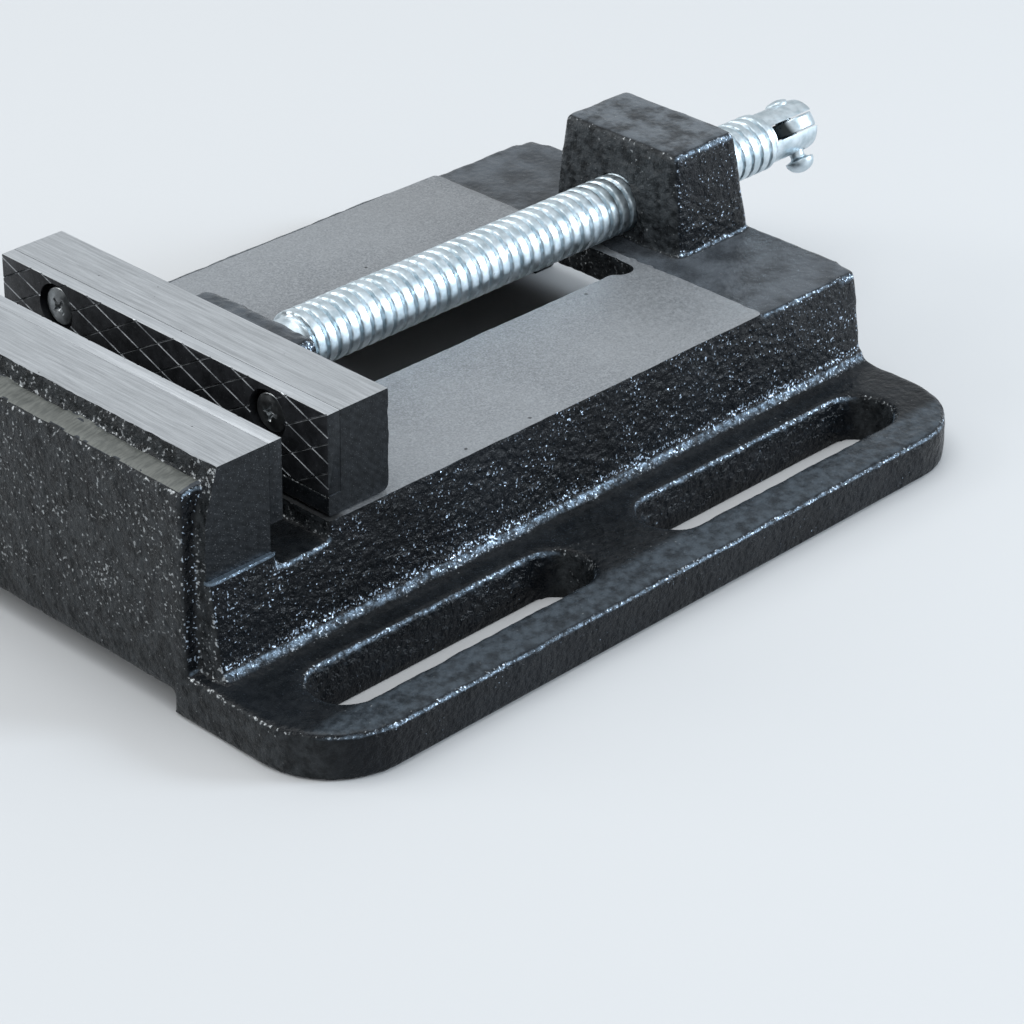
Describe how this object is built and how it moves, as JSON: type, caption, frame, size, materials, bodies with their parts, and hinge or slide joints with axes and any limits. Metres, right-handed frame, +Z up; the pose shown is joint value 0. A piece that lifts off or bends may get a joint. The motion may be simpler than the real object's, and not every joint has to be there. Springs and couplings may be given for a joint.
{
  "type": "drill press vise",
  "caption": "Low drill press vise: slotted flanged iron base, sliding jaw on ground ways, hatched jaw plates, and a lead screw turned by a folding lever.",
  "frame": {"origin": "middle of the whole object's footprint at the underside of the base, z = 0 on the table", "axes": "+X along the lead screw from the fixed jaw to the lever, +Y across the jaws, +Z up"},
  "size_m": [0.2398, 0.175, 0.0568],
  "materials": {
    "enamelled_iron": "black enamel over rough sand-cast iron, ground bright on the ways and jaw tops",
    "plate_steel": "blackened ground steel with scribed diamond hatching",
    "zinc_steel": "bright zinc plated steel",
    "dark_steel": "black oxide steel"
  },
  "bodies": {
    "base": {"vise_body": "enamelled_iron", "fixed_jaw_plate": "plate_steel", "fixed_plate_screw_near": "zinc_steel", "fixed_plate_screw_far": "zinc_steel"},
    "jaw": {"moving_jaw": "enamelled_iron", "moving_jaw_plate": "plate_steel", "moving_plate_screw_near": "zinc_steel", "moving_plate_screw_far": "zinc_steel", "keeper_plate": "dark_steel", "keeper_bolt_front": "dark_steel", "keeper_bolt_rear": "dark_steel", "spring_washer_front": "zinc_steel", "spring_washer_rear": "zinc_steel", "retaining_pin_near": "zinc_steel", "retaining_pin_far": "zinc_steel"},
    "screw": {"lead_screw": "zinc_steel", "lever_rivet": "zinc_steel"},
    "lever": {"folding_lever": "zinc_steel"}
  },
  "joints": [
    {"name": "jaw_slide", "type": "slide", "parent": "base", "child": "jaw", "axis": [1, 0, 0], "range_m": [-0.0118, 0.088]},
    {"name": "screw_turn", "type": "hinge", "parent": "jaw", "child": "screw", "pos_m": [0, 0, 0.04], "axis": [1, 0, 0], "range_deg": [-1310, 9751]},
    {"name": "lever_fold", "type": "hinge", "parent": "screw", "child": "lever", "pos_m": [0.1129, 0, 0.04], "axis": [0, 0.5699, 0.8217], "range_deg": [-195, 15]}
  ],
  "couplings": [
    {"joint": "screw_turn", "follows": "jaw_slide", "rad_per_m": 1933.3}
  ]
}
